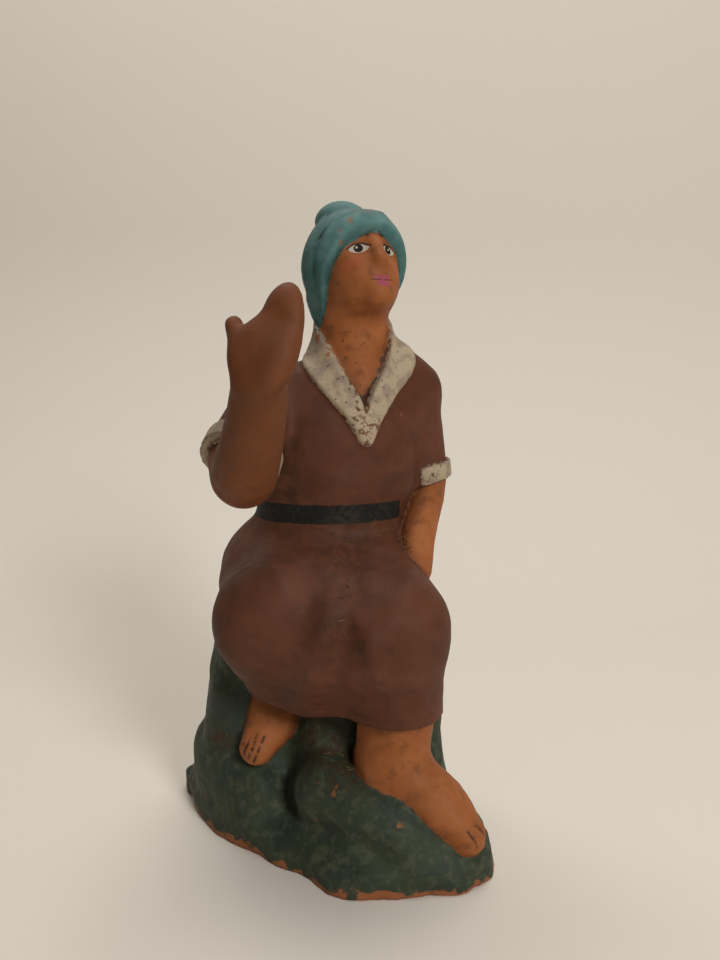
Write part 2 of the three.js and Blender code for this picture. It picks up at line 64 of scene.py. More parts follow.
NOISE_SIZE = 24
FOOT_GROOVE = -0.22
TOE_GAPS = [
    [(-10.5, -2.8, 17.2), (-11.1, -3.4, 15.4), (-11.8, -3.1, 13.3)],
    [(-9.9, -3.1, 16.8), (-10.4, -3.8, 14.9), (-11.2, -3.6, 12.9)],
    [(-8.8, -3.1, 16.4), (-9.5, -4.0, 14.8), (-10.4, -3.6, 12.6)],
    [(18.4, -12.4, 8.0), (19.4, -12.7, 6.7), (19.8, -12.6, 5.4)],
    [(19.6, -11.4, 8.2), (20.6, -11.3, 7.3), (21.3, -11.0, 6.0)],
]
CREASES = [
    ([(2.0, -4.9, 51.6), (4.6, -5.0, 50.6), (7.4, -3.6, 50.9)], -0.16, 0.5),
    ([(-1.6, -5.0, 51.2), (0.6, -5.4, 50.4)], -0.14, 0.45),
    ([(3.4, -5.0, 54.6), (3.0, -5.2, 52.2), (4.0, -4.9, 50.6)], -0.14, 0.6),
    ([(9.8, -2.4, 62.6), (10.2, -1.2, 59.4), (10.6, 0.4, 56.2)], -0.35, 0.8),
    ([(7.6, -4.2, 58.4), (9.6, -2.6, 55.6)], 0.16, 1.0),
    ([(-3.6, -25.6, 64.9), (-6.2, -26.4, 64.2), (-8.6, -25.4, 64.6)], -0.14, 0.5),
    ([(10.6, -1.4, 42.0), (11.2, -2.6, 40.6)], -0.2, 0.5),
    ([(-8.8, -14.0, 32.0), (-4.4, -14.0, 30.2), (-0.6, -12.0, 30.6)], -0.3, 1.2),
    ([(-12.6, -6.0, 27.6), (-8.4, -8.6, 26.0), (-4.0, -8.6, 26.2)], 0.3, 1.2),
    ([(11.8, -10.6, 24.6), (8.0, -13.0, 24.2), (4.6, -11.6, 24.6)], 0.25, 0.9),
]
SCARF_FOLDS = [
    ([(-5.6, -2.2, -3.6), (-4.2, -5.2, 2.4), (0.4, -6.0, 5.6), (4.4, -3.0, 6.0)], 0.25, 0.7),
    ([(-6.4, 0.4, -2.6), (-5.6, -2.6, 3.2), (-1.6, -4.2, 6.6), (2.4, -2.6, 7.4)], -0.3, 0.5),
    ([(-5.2, 4.6, -5.4), (-6.4, 2.6, 1.2), (-3.8, 0.6, 6.4)], 0.25, 0.8),
    ([(-3.4, 6.4, -4.0), (-4.4, 5.8, 2.4), (-2.6, 4.2, 6.4)], -0.25, 0.6),
    ([(6.4, 1.2, -2.4), (6.0, 0.6, 3.0), (3.0, 1.0, 7.0)], -0.25, 0.6),
    ([(-3.0, 0.0, 6.6), (0.2, -1.8, 6.2), (3.4, 0.2, 6.8)], -0.35, 0.5),
    ([(-2.2, -0.6, 8.6), (0.6, -1.2, 9.4), (2.8, 1.0, 9.2)], -0.25, 0.5),
]


def grain(size, seed):
    """Smooth random values from -1 to 1 at points, which change over a size in millimetres."""
    table = np.random.default_rng(seed).uniform(-1, 1, (NOISE_SIZE,) * 3)

    def values(p):
        cell = np.floor(p / size)
        share = p / size - cell
        share = share * share * (3 - 2 * share)
        low = cell.astype(int) % NOISE_SIZE
        high = (low + 1) % NOISE_SIZE
        total = 0
        for corner in np.ndindex(2, 2, 2):
            pick = [(high if side else low)[:, k] for k, side in enumerate(corner)]
            weight = np.prod([share[:, k] if side else 1 - share[:, k] for k, side in enumerate(corner)], 0)
            total = total + weight * table[tuple(pick)]
        return total
    return values


def grainy(form, *layers):
    """Lays random unevenness of (size, height, seed) on a form, near its surface."""
    layers = [(grain(size, seed), height) for size, height, seed in layers]

    def out(p):
        distance = form(p)
        near = np.nonzero(np.abs(distance) < ROOM)[0]
        if len(near):
            distance[near] -= sum(height * values(p[near]) for values, height in layers)
        return distance
    return out
# Driving sizes of the figure in millimetres, as in the part

HEAD_HEIGHT = 15.0
HEAD_WIDTH = 11.4
HEAD_DEPTH = 12.6
SCARF_THICKNESS = 0.9
NECK_RADIUS = 4.7
ELBOW_RADIUS = 3.9
WRIST_RADIUS = 3.0
SLEEVE_RADIUS = 4.8
THIGH_RADIUS = 8.6
KNEE_RADIUS = 7.0
CALF_RADIUS = 5.1
LAPEL_WIDTH = 4.6
CUFF_WIDTH = 2.6
TRIM_RISE = 0.6
HEM = 21.8
SHOULDER_TOP = 74.0
SCARF_END = 66.0
SEAT_TOP = 33.0
ROCK_RIM = 3.2

# Where the joints of the body lie

WAIST = (0.6, 3.6, 48.6)
CHEST = (2.4, 3.2, 57.6)
NECK = (3.4, 3.0, 69.0)
HEAD = (4.0, 1.9, 80.4)
RIGHT_SHOULDER = (-8.0, 0.4, 63.0)
RIGHT_CUFF = (-10.6, -8.4, 55.4)
RIGHT_ELBOW = (-9.2, -14.0, 54.4)
RIGHT_FOREARM = (-7.0, -20.2, 60.8)
RIGHT_WRIST = (-6.0, -23.3, 64.8)
LEFT_SHOULDER = (11.6, 6.6, 63.8)
LEFT_CUFF = (14.0, 7.4, 51.0)
LEFT_ELBOW = (13.8, 7.6, 48.4)
LEFT_WRIST = (12.3, 1.8, 43.0)
LEFT_FINGERS = (12.1, -1.4, 39.8)
RIGHT_HIP = (-6.2, 5.4, 37.8)
RIGHT_KNEE = (-6.8, -7.6, 34.6)
RIGHT_SHIN = (-7.0, 3.0, 22.0)
RIGHT_INSTEP = (-7.9, 1.4, 17.4)
RIGHT_TOES = (-9.9, -1.6, 14.2)
LEFT_HIP = (5.4, 5.4, 37.0)
LEFT_KNEE = (8.5, -8.4, 34.0)
LEFT_SHIN = (9.4, -5.4, 22.0)
LEFT_HEEL = (8.6, -4.6, 12.6)
LEFT_INSTEP = (14.8, -8.0, 9.4)
LEFT_TOES = (18.4, -10.2, 6.4)

TORSO_TURN = 20.0
HEAD_TURN = 28.0
HEAD_TILT = 18.0

# Softness of the joins, as the mould leaves them

CRISP = 0.6
SOFT = 1.6
DRAPED = 4.0
ROOM = 4.0


# A form is a function of points, as rows of three numbers, that gives their distances to the
# form's surface, below zero inside.


def join(*forms):
    return lambda p: np.minimum.reduce([form(p) for form in forms])


def melt(softness, first, *others):
    """Joins forms with a fillet, as wide as the softness."""
    def form(p):
        near = first(p)
        for other in others:
            following = other(p)
            overlap = np.maximum(softness - np.abs(near - following), 0) / softness
            near = np.minimum(near, following) - overlap * overlap * softness / 4
        return near
    return form


def keep_inside(form, limit):
    return lambda p: np.maximum(form(p), limit(p))


def within(rough, form):
    """The exact form where the rough distance is less than ROOM, and the rough one further away."""
    def both(p):
        distance = rough(p)
        near = np.nonzero(distance <= ROOM)[0]
        if len(near):
            distance[near] = form(p[near])
        return distance
    return both


def up_to(top, form):
    return within(lambda p: p[:, 2] - top, form)


def up_from(bottom, form):
    return within(lambda p: bottom - p[:, 2], form)


def axes_of(turn=0.0, tilt=0.0, roll=0.0):
    """Own axes as columns: the own -Y is tilted upwards and then turned towards +X."""
    a, b, c = np.radians([-tilt, roll, turn])
    about_x = np.array([[1, 0, 0], [0, math.cos(a), -math.sin(a)], [0, math.sin(a), math.cos(a)]])
    about_y = np.array([[math.cos(b), 0, math.sin(b)], [0, 1, 0], [-math.sin(b), 0, math.cos(b)]])
    about_z = np.array([[math.cos(c), -math.sin(c), 0], [math.sin(c), math.cos(c), 0], [0, 0, 1]])
    return about_z @ about_x @ about_y


def own_place(p, centre, **angles):
    """Points as seen in the own axes of a form with that centre."""
    return (p - np.array(centre)) @ axes_of(**angles)


def placed(form, centre, **angles):
    return lambda p: form(own_place(p, centre, **angles))


def egg(radii):
    radii = np.array(radii, float)

    def form(p):
        near = np.sqrt(((p / radii) ** 2).sum(1))
        slope = np.sqrt(((p / radii ** 2) ** 2).sum(1))
        return near * (near - 1) / np.maximum(slope, 1e-6)
    return form


def boulder(radii):
    """An egg with flatter sides."""
    radii = np.array(radii, float)
    return lambda p: (np.cbrt((np.abs(p / radii) ** 3).sum(1)) - 1) * radii.min()


def curve_point(before, start, end, after, share):
    """A point of a centripetal Catmull-Rom curve, at a share of the way from start to end."""
    gaps = [max(math.dist(a, b) ** 0.5, 1e-6) for a, b in ((before, start), (start, end), (end, after))]
    leave = (start - before) / gaps[0] - (end - before) / (gaps[0] + gaps[1]) + (end - start) / gaps[1]
    arrive = (end - start) / gaps[1] - (after - start) / (gaps[1] + gaps[2]) + (after - end) / gaps[2]
    leave, arrive = leave * gaps[1], arrive * gaps[1]
    square = -3 * start + 3 * end - 2 * leave - arrive
    cube = 2 * start - 2 * end + leave + arrive
    return start + leave * share + square * share ** 2 + cube * share ** 3


STEPS_PER_JOINT = 5


def smooth_path(joints, closed=False):
    """Points along a smooth curve through the joints."""
    joints = [np.array(joint, float) for joint in joints]
    if closed:
        joints = [joints[-1], *joints, joints[0], joints[1]]
    else:
        joints = [2 * joints[0] - joints[1], *joints, 2 * joints[-1] - joints[-2]]
    steps = 4 if closed else STEPS_PER_JOINT
    spans = zip(joints, joints[1:], joints[2:], joints[3:])
    path = [curve_point(*span, step / steps) for span in spans for step in range(steps)]
    return np.array(path if closed else path + [joints[-2]])


def limb(joints, radii):
    """A limb follows a smooth curve through its joints, and has a radius at each."""
    spine = smooth_path(joints) if len(joints) > 2 else np.array(joints, float)
    radii = np.interp(np.linspace(0, len(radii) - 1, len(spine)), np.arange(len(radii)), radii)
    middle = (spine.min(0) + spine.max(0)) / 2
    reach = (np.linalg.norm(spine - middle, axis=1) + radii).max()

    def form(p):
        x, y, z = p.T
        nearest = np.full(len(p), np.inf)
        for start, end, first, last in zip(spine, spine[1:], radii, radii[1:]):
            way = end - start
            u, v, w = x - start[0], y - start[1], z - start[2]
            share = np.clip((u * way[0] + v * way[1] + w * way[2]) / (way @ way), 0, 1)
            away = (u - share * way[0]) ** 2 + (v - share * way[1]) ** 2 + (w - share * way[2]) ** 2
            nearest = np.minimum(nearest, np.sqrt(away) - first - (last - first) * share)
        return nearest
    return within(lambda p: np.linalg.norm(p - middle, axis=1) - reach, form)


def shaped(form, paths, flat=False):
    """Raises a form along paths of (points, height, width), or sinks it where the height is below zero.

    Flat paths are [x, z] points as seen from the front, and shape the front only.
    """
    drawn = []
    for points, height, width in paths:
        points = [(x, 0, z) for x, z in points] if flat else points
        drawn.append((limb(points, [0] * len(points)), height, width))

    def out(p):
        distance = form(p)
        near = (np.abs(distance) <= ROOM) & (not flat or p[:, 1] <= 0)
        q = p[near] * [1, not flat, 1]
        for path, height, width in drawn:
            distance[near] -= height * np.exp(-(path(q) / width) ** 2)
        return distance
    return out


def uneven(form, height, length):
    """Lumps and hollows of a height, repeated at about a length."""
    def out(p):
        u, v, w = p.T * (2 * math.pi / length)
        waves = np.sin(u + 0.6 * w) * np.sin(0.8 * v + 0.5 * u + 1) * np.sin(0.9 * w - 0.4 * v + 2)
        return form(p) + height * waves
    return out


def resting(form, path):
    """The points of a path, moved onto a form's surface."""
    points = np.array(path, float)
    for _ in range(3):
        value = form(points)
        slope = np.stack([form(points + step) - value for step in np.eye(3) * 0.05], 1) / 0.05
        points -= slope * (value / np.maximum((slope ** 2).sum(1), 0.25))[:, None]
    return points


def ribbon(form, path, widths):
    """A band of cloth lies on a form: it follows a path and stands proud by the rise of the trim."""
    near = limb(resting(form, path), [width / 2 for width in widths])
    return within(near, lambda p: np.maximum(form(p) - TRIM_RISE, near(p)))


def shifted(point, *move):
    return tuple(a + b for a, b in zip(point, move))


def between(a, b, share):
    return tuple(x + (y - x) * share for x, y in zip(a, b))


# The rock, a mound over the outline of the underside, with boulders for the seat and the feet

BASE_OUTLINE = [
    (-23.6, 12.4), (-17.6, 6.0), (-12.0, -2.2), (-4.6, -9.2), (2.4, -14.2), (11.6, -14.4),
    (20.0, -12.2), (22.8, -7.6), (20.6, 4.0), (17.0, 13.4), (6.0, 16.6), (-8.0, 16.6), (-20.4, 16.6),
]
LEFT_BANK = [(0.5, -4.5, 9.5), (6, -7.8, 8.4), (12, -9.4, 5.2), (17.2, -9.6, 2)]
RIM_LEAN = 0.1
SLOPE = 1.1
CREST = 13.6
LUMP_HEIGHT = 0.4
LUMP_LENGTH = 11.0


def rock():
    outline = smooth_path([(x, y, 0) for x, y in BASE_OUTLINE], closed=True)[:, :2]

    def plan(p):
        """Distance to the outline in plan, below zero inside it."""
        nearest = np.full(len(p), np.inf)
        inside = np.zeros(len(p), bool)
        for start, end in zip(outline, np.roll(outline, -1, 0)):
            way = end - start
            u, v = p[:, 0] - start[0], p[:, 1] - start[1]
            share = np.clip((u * way[0] + v * way[1]) / (way @ way), 0, 1)
            nearest = np.minimum(nearest, np.hypot(u - share * way[0], v - share * way[1]))
            if way[1]:
                inside ^= ((v < 0) != (v < way[1])) & (u < way[0] * v / way[1])
        return np.where(inside, -nearest, nearest)

    def mound(p):
        rise = np.maximum(p[:, 2] - ROCK_RIM, 0)
        inset = RIM_LEAN * np.maximum(p[:, 2], 0) + SLOPE * rise
        return (plan(p) + inset) / np.where(rise > 0, math.hypot(1, SLOPE), 1)

    boulders = melt(
        2,
        keep_inside(mound, lambda p: p[:, 2] - CREST),
        placed(boulder((7.6, 8, 15.6)), (-11.2, 9, 15.4), turn=10, roll=4),
        placed(boulder((6.4, 6.2, 9)), (-14.8, 9.6, 5), turn=14),
        placed(boulder((14, 8, 17)), (1, 9, 12.6), turn=-4),
        placed(boulder((7.2, 6.6, 9.4)), (-10.6, 3.6, 3), turn=-40),
        placed(egg((6, 7, 13)), (0.8, 3.2, 11.6)),
        limb(LEFT_BANK, [5, 4.6, 4, 3]),
        limb([(10.2, 3.8, 22), (10.8, 3.2, 8)], [5.2, 6.4]),
    )
    return keep_inside(uneven(boulders, LUMP_HEIGHT, LUMP_LENGTH), lambda p: -p[:, 2])


# The head has its own axes: -Y out of the face and Z through the crown.

EYE = (2.15, -5.2, 0.1)
MOUTH = (0, -5.4, -4.5)


def head():
    skull = placed(egg((HEAD_WIDTH / 2, HEAD_DEPTH / 2, 0.4 * HEAD_HEIGHT)), (0, 0.7, 1.5))
    jaw = placed(egg((0.38 * HEAD_WIDTH, 0.36 * HEAD_DEPTH, 0.3 * HEAD_HEIGHT)), (0, -1.7, -3.2))
    chin = placed(egg((1.9, 1.6, 1.5)), (0, -4.7, -6))
    nose = limb([(0, -5.6, 0.9), (0, -6.5, -1.7)], [0.5, 0.9])
    plain = melt(1.2, melt(2.4, skull, jaw), chin, nose)
    features = [([shifted(MOUTH, -1.2, 0.2, 0), shifted(MOUTH, 1.2, 0.2, 0)], 0.22, 0.7)]
    for side in (0, -2 * EYE[0]):
        features.append(([shifted(EYE, side, 0, 0.1), shifted(EYE, side, 0, -0.1)], -0.4, 1.2))
    return shaped(plain, features)


def scarf():
    radii = [radius + SCARF_THICKNESS for radius in (HEAD_WIDTH / 2, HEAD_DEPTH / 2, 0.4 * HEAD_HEIGHT)]
    cap = placed(egg(radii), (0, 0.9, 0.9))
    nape = limb([(0, 3.4, 0), (0, 3.4, -5), (0, 0.6, -9.4)], [5.3, 4.6, 4.4])
    around = melt(2, cap, nape)

    def covered(p):
        """The cloth ends along a slanting plane, above the brow and behind the cheeks."""
        return 0.72 * (p[:, 1] + 5.9) + 0.69 * (p[:, 2] - 2.3)

    hood = keep_inside(around, lambda p: -covered(p))
    roll = keep_inside(lambda p: around(p) - 0.5, lambda p: np.abs(covered(p) - 1.6) - 1.6)
    knot = placed(egg((3.7, 3.8, 2.7)), (0.2, 2.3, 7.5), turn=12, tilt=-14)
    return shaped(melt(0.8, join(hood, roll), knot), SCARF_FOLDS)


# The tunic

SKIRT_FOLDS = [
    ([(1.2, 38.4), (-0.6, 32.8), (-3, 23.6)], 0.6, 1.9),
    ([(3.7, 45.3), (3.7, 41.9), (3.5, 38.4), (2.2, 34), (1.2, 28)], -0.6, 1.7),
    ([(10.9, 40.8), (7.3, 35.5), (6, 33.9)], 0.45, 1.5),
    ([(3.5, 38.2), (5.9, 34.2), (6.4, 30)], 0.45, 1.5),
    ([(-7.6, 43.8), (-5, 41.2)], 0.4, 1.3),
]


def sleeve(shoulder, end, top_radius, end_radius):
    """A sleeve and its raised cuff, which both end flat."""
    way = (np.array(end) - shoulder) / math.dist(end, shoulder)

    def past(p):
        return (p - end) @ way

    tube = limb([shoulder, shifted(end, *way * end_radius)], [top_radius, end_radius])
    half = CUFF_WIDTH / 2
    cuff = keep_inside(lambda p: tube(p) - TRIM_RISE, lambda p: np.abs(past(p) + half) - half)
    return join(keep_inside(tube, past), cuff), cuff


def tunic():
    """The tunic, without the collar and its opening, and its cuffs alone."""
    chest = placed(egg((11.2, 7.8, 10.6)), CHEST, turn=TORSO_TURN)
    belly = placed(egg((10.4, 7.8, 8)), WAIST, turn=TORSO_TURN / 2)
    blouse = limb([shifted(WAIST, 0.4, -5.2, 3.4), shifted(WAIST, 8.4, -2.6, 3.4)], [2.4, 2.2])
    shoulders = limb(
        [RIGHT_SHOULDER, shifted(NECK, -0.4, 0.6, -4.8), shifted(NECK, 5.2, 1.4, -3.2), LEFT_SHOULDER],
        [4.2, 4.8, 4.6, 4.2],
    )
    yoke = limb([shifted(NECK, -0.4, 1.6, -7), shifted(NECK, 0.2, 1.6, -1.4)], [7, 5.6])
    right_sleeve, right_cuff = sleeve(RIGHT_SHOULDER, RIGHT_CUFF, SLEEVE_RADIUS - 0.6, SLEEVE_RADIUS)
    left_sleeve, left_cuff = sleeve(LEFT_SHOULDER, LEFT_CUFF, SLEEVE_RADIUS - 0.8, SLEEVE_RADIUS - 1.6)
    pelvis = placed(egg((12.4, 9.6, 9.4)), (-1.2, 5.8, 38))
    seat = placed(boulder((12.2, 8.8, 7.4)), (-1, 6.6, 33))
    right_thigh = limb([RIGHT_HIP, RIGHT_KNEE], [THIGH_RADIUS, KNEE_RADIUS])
    left_thigh = limb([LEFT_HIP, LEFT_KNEE], [THIGH_RADIUS - 1.2, KNEE_RADIUS - 0.2])
    right_drape = limb([RIGHT_KNEE, RIGHT_SHIN], [KNEE_RADIUS - 0.4, 4.8])
    left_drape = limb(
        [LEFT_KNEE, shifted(LEFT_KNEE, 0.4, 0.8, -6), shifted(LEFT_SHIN, 0, -1, 0)],
        [KNEE_RADIUS - 0.4, KNEE_RADIUS - 0.5, KNEE_RADIUS - 0.9],
    )
    lap = limb([(2, 3, 38), (1.2, -8.2, 34.4), (0, -5.8, 28), (-1.6, -1.8, 22)], [8.2, 7.2, 6.2, 5])
    skirt = melt(DRAPED, pelvis, seat, right_thigh, left_thigh, right_drape, left_drape, lap)
    bodice = melt(SOFT, melt(2, chest, shoulders, yoke), right_sleeve, left_sleeve)
    whole = melt(3, bodice, belly, blouse, shaped(skirt, SKIRT_FOLDS, flat=True))
    return keep_inside(whole, lambda p: HEM - p[:, 2]), join(right_cuff, left_cuff)


# The bare head, arms and legs

HAND = dict(centre=shifted(RIGHT_WRIST, 0.6, -1.8, 4.4), turn=-20, tilt=16, roll=6)


def raised_hand():
    """It has its own axes: Z towards the fingertips and -Y out of the back of the hand."""
    palm = placed(egg((3.7, 2, 4.2)), (0.2, 0, -1))
    fingers = placed(egg((2.6, 1.6, 5.4)), (1.4, 0.3, 1.6))
    thumb = limb([(-1.9, 0, -1.6), (-4, 0.3, 2)], [1.3, 0.9])
    hollow = [([(-0.4, -2, -6), (0.2, -2, -2), (1.6, -1.4, 2.6)], -0.45, 1.5)]
    return placed(shaped(melt(1, palm, fingers, thumb), hollow), **HAND)


def skin():
    neck = limb(
        [shifted(NECK, -0.2, 0.4, -5), NECK, between(NECK, HEAD, 0.7)],
        [NECK_RADIUS + 1.4, NECK_RADIUS + 0.3, NECK_RADIUS - 0.2],
    )
    right_arm = limb(
        [RIGHT_CUFF, RIGHT_ELBOW, RIGHT_FOREARM, RIGHT_WRIST],
        [ELBOW_RADIUS, ELBOW_RADIUS, ELBOW_RADIUS + 0.6 * (WRIST_RADIUS - ELBOW_RADIUS), WRIST_RADIUS],
    )
    left_arm = limb([LEFT_CUFF, LEFT_ELBOW, LEFT_WRIST, LEFT_FINGERS], [3.1, 3, 2.6, 2.2])
    right_leg = limb([RIGHT_KNEE, RIGHT_SHIN, RIGHT_INSTEP, RIGHT_TOES], [CALF_RADIUS, 4.3, 3.8, 2.5])
    left_leg = limb([LEFT_KNEE, LEFT_SHIN, LEFT_HEEL], [CALF_RADIUS] * 3)
    left_foot = limb([LEFT_HEEL, LEFT_INSTEP, LEFT_TOES], [CALF_RADIUS - 0.3, 4, 2.7])
    face = placed(head(), HEAD, turn=HEAD_TURN, tilt=HEAD_TILT)
    return melt(SOFT, face, neck, right_arm, raised_hand(), left_arm, right_leg, left_leg, left_foot)


# The collar and its opening

OPENING = [(4.2, 0.5, 69.4), (4.7, -3.2, 66.4), (5, -4, 63.2), (5.1, -4.4, 60.4)]
LEFT_SIDE = (8, 5, 72.6)
RIGHT_SIDE = (-1.4, 3, 72.2)
TIP = (5.6, -4.8, 57.8)
BARE_DEPTH = 0.5


def collar(cloth):
    """Two lapels run from the sides of the neck to one tip, and a band joins them behind the neck."""
    left_lapel = [LEFT_SIDE, (10.2, 0.8, 68.8), (8.8, -2.8, 64.8), (6.9, -4.6, 61.2), TIP]
    right_lapel = [RIGHT_SIDE, (-2.2, -1.4, 69.6), (0.6, -3.6, 66), (3.6, -4.6, 62), TIP]
    behind_neck = [RIGHT_SIDE, (0.4, 7.6, 69.4), (5.8, 8.4, 69.4), LEFT_SIDE]
    return join(
        ribbon(cloth, left_lapel, LAPEL_WIDTH * np.array([0.7, 0.9, 0.75, 0.55, 0.4])),
        ribbon(cloth, right_lapel, LAPEL_WIDTH * np.array([0.7, 1, 0.85, 0.65, 0.4])),
        ribbon(cloth, behind_neck, LAPEL_WIDTH * np.array([0.7, 1, 1, 0.7])),
    )


def parts():
    """The whole figure as one form, and its painted parts by name."""
    whole, cuffs = tunic()
    whole = shaped(whole, CREASES)
    opening = limb(OPENING, [3, 2.3, 1.3, 0.5])
    cloth = up_to(SHOULDER_TOP, keep_inside(whole, lambda p: -opening(p)))
    chest = keep_inside(lambda p: whole(p) + BARE_DEPTH, opening)
    toe_gaps = [(path, FOOT_GROOVE, 0.45) for path in TOE_GAPS]
    flesh = join(shaped(skin(), toe_gaps), chest)
    lapels = collar(melt(SOFT, cloth, flesh))
    kerchief = up_from(SCARF_END, placed(scarf(), HEAD, turn=HEAD_TURN, tilt=HEAD_TILT))
    stone = up_to(SEAT_TOP, grainy(rock(), (3.4, 0.2, 1), (1.5, 0.09, 2)))
    dressed = melt(CRISP, join(flesh, cloth), lapels)
    figure = grainy(join(melt(CRISP, stone, cloth), dressed, kerchief), (4.2, 0.09, 3), (1.7, 0.05, 4))
    figure = keep_inside(figure, lambda p: -p[:, 2])
    return figure, dict(rock=stone, cloth=cloth, flesh=flesh, scarf=kerchief, lapels=lapels, cuffs=cuffs)

# Fine skin round the forms

GRID_STEP = 0.4
BLOCK = 6
BATCH = 24000


def in_batches(form, points):
    """The form's value at many points, a batch at a time."""
    return np.concatenate([form(points[i:i + BATCH]) for i in range(0, len(points), BATCH)])


def sampled(form, low, high, step):
    """Grid lines and the form's values on them: exact near the surface, one value per block elsewhere."""
    lines = [np.arange(a, b + step, step) for a, b in zip(low, high)]
    middles = [line[np.minimum(np.arange(0, len(line), BLOCK) + BLOCK // 2, len(line) - 1)] for line in lines]
    centres = np.stack(np.meshgrid(*middles, indexing="ij"), -1)
    coarse = in_batches(form, centres.reshape(-1, 3)).reshape(centres.shape[:3])
    block_of = [np.minimum(np.arange(len(line)) // BLOCK, len(m) - 1) for line, m in zip(lines, middles)]
    values = coarse[np.ix_(*block_of)]
    near = np.argwhere(np.abs(values) < 1.4 * math.sqrt(3) * step * (BLOCK / 2 + 1))
    near = near[np.lexsort([near[:, k] // BLOCK for k in (2, 1, 0)])]
    points = np.stack([lines[k][near[:, k]] for k in range(3)], 1)
    values[tuple(near.T)] = in_batches(form, points)
    return lines, values


def skin_round(lines, values):
    """Corner points and four-sided faces of the surface, by naive surface nets."""
    inside = values < 0
    size = np.array(inside.shape) - 1
    count = np.zeros(size, np.int8)
    for corner in np.ndindex(2, 2, 2):
        count += inside[tuple(slice(c, c + n) for c, n in zip(corner, size))]
    cells = np.argwhere((count > 0) & (count < 8))
    number = np.full(size, -1)
    number[tuple(cells.T)] = np.arange(len(cells))
    total = np.zeros((len(cells), 3))
    crossings = np.zeros(len(cells))
    faces = []
    for axis in range(3):
        across = [(axis + 1) % 3, (axis + 2) % 3]
        for side in np.ndindex(2, 2):
            start = cells.copy()
            start[:, across] += side
            end = start.copy()
            end[:, axis] += 1
            a, b = values[tuple(start.T)], values[tuple(end.T)]
            crosses = (a < 0) != (b < 0)
            share = np.where(crosses, a / np.where(crosses, a - b, 1), 0)
            first = np.stack([lines[k][start[:, k]] for k in range(3)], 1)
            last = np.stack([lines[k][end[:, k]] for k in range(3)], 1)
            total += np.where(crosses[:, None], first + (last - first) * share[:, None], 0)
            crossings += crosses
        lower = [slice(1, -1)] * 3
        lower[axis] = slice(0, -1)
        upper = [slice(1, -1)] * 3
        upper[axis] = slice(1, None)
        edges = np.argwhere(inside[tuple(lower)] != inside[tuple(upper)])
        outward = inside[tuple(lower)][tuple(edges.T)]
        edges += 1
        edges[:, axis] -= 1
        ring = []
        for side in ((-1, -1), (0, -1), (0, 0), (-1, 0)):
            cell = edges.copy()
            cell[:, across] += side
            ring.append(number[tuple(cell.T)])
        ring = np.stack(ring, 1)
        ring[~outward] = ring[~outward][:, ::-1]
        faces.append(ring)
    return total / crossings[:, None], np.concatenate(faces)


def settled(form, points, rounds=2):
    """The points moved onto the form's surface, and the surface's normals there."""
    reach = 0.08
    for _ in range(rounds):
        value = in_batches(form, points)
        slope = np.stack([in_batches(form, points + step) for step in np.eye(3) * reach], 1) - value[:, None]
        slope /= np.maximum(np.linalg.norm(slope, axis=1, keepdims=True), 1e-6)
        move = np.clip(value, -0.3 * GRID_STEP, 0.3 * GRID_STEP)
        points = points - slope * move[:, None]
        points[:, 2] = np.maximum(points[:, 2], 0)
    return points, slope


def object_from(name, corners, faces, numbers=None, smooth=True):
    """A mesh object in metres from corners in millimetres, with named values for the paint."""
    mesh = bpy.data.meshes.new(name)
    mesh.vertices.add(len(corners))
    mesh.vertices.foreach_set("co", (corners * 0.001).ravel())
    sides = faces.shape[1]
    mesh.loops.add(faces.size)
    mesh.loops.foreach_set("vertex_index", faces.ravel().astype(np.int32))
    mesh.polygons.add(len(faces))
    mesh.polygons.foreach_set("loop_start", np.arange(0, faces.size, sides, dtype=np.int32))
    mesh.polygons.foreach_set("use_smooth", np.full(len(faces), smooth))
    for key, value in (numbers or {}).items():
        mesh.attributes.new(key, "FLOAT", "POINT").data.foreach_set("value", value.astype(np.float32))
    mesh.update(calc_edges=True)
    mesh.validate()
    piece = bpy.data.objects.new(name, mesh)
    bpy.context.scene.collection.objects.link(piece)
    return piece


# Paint


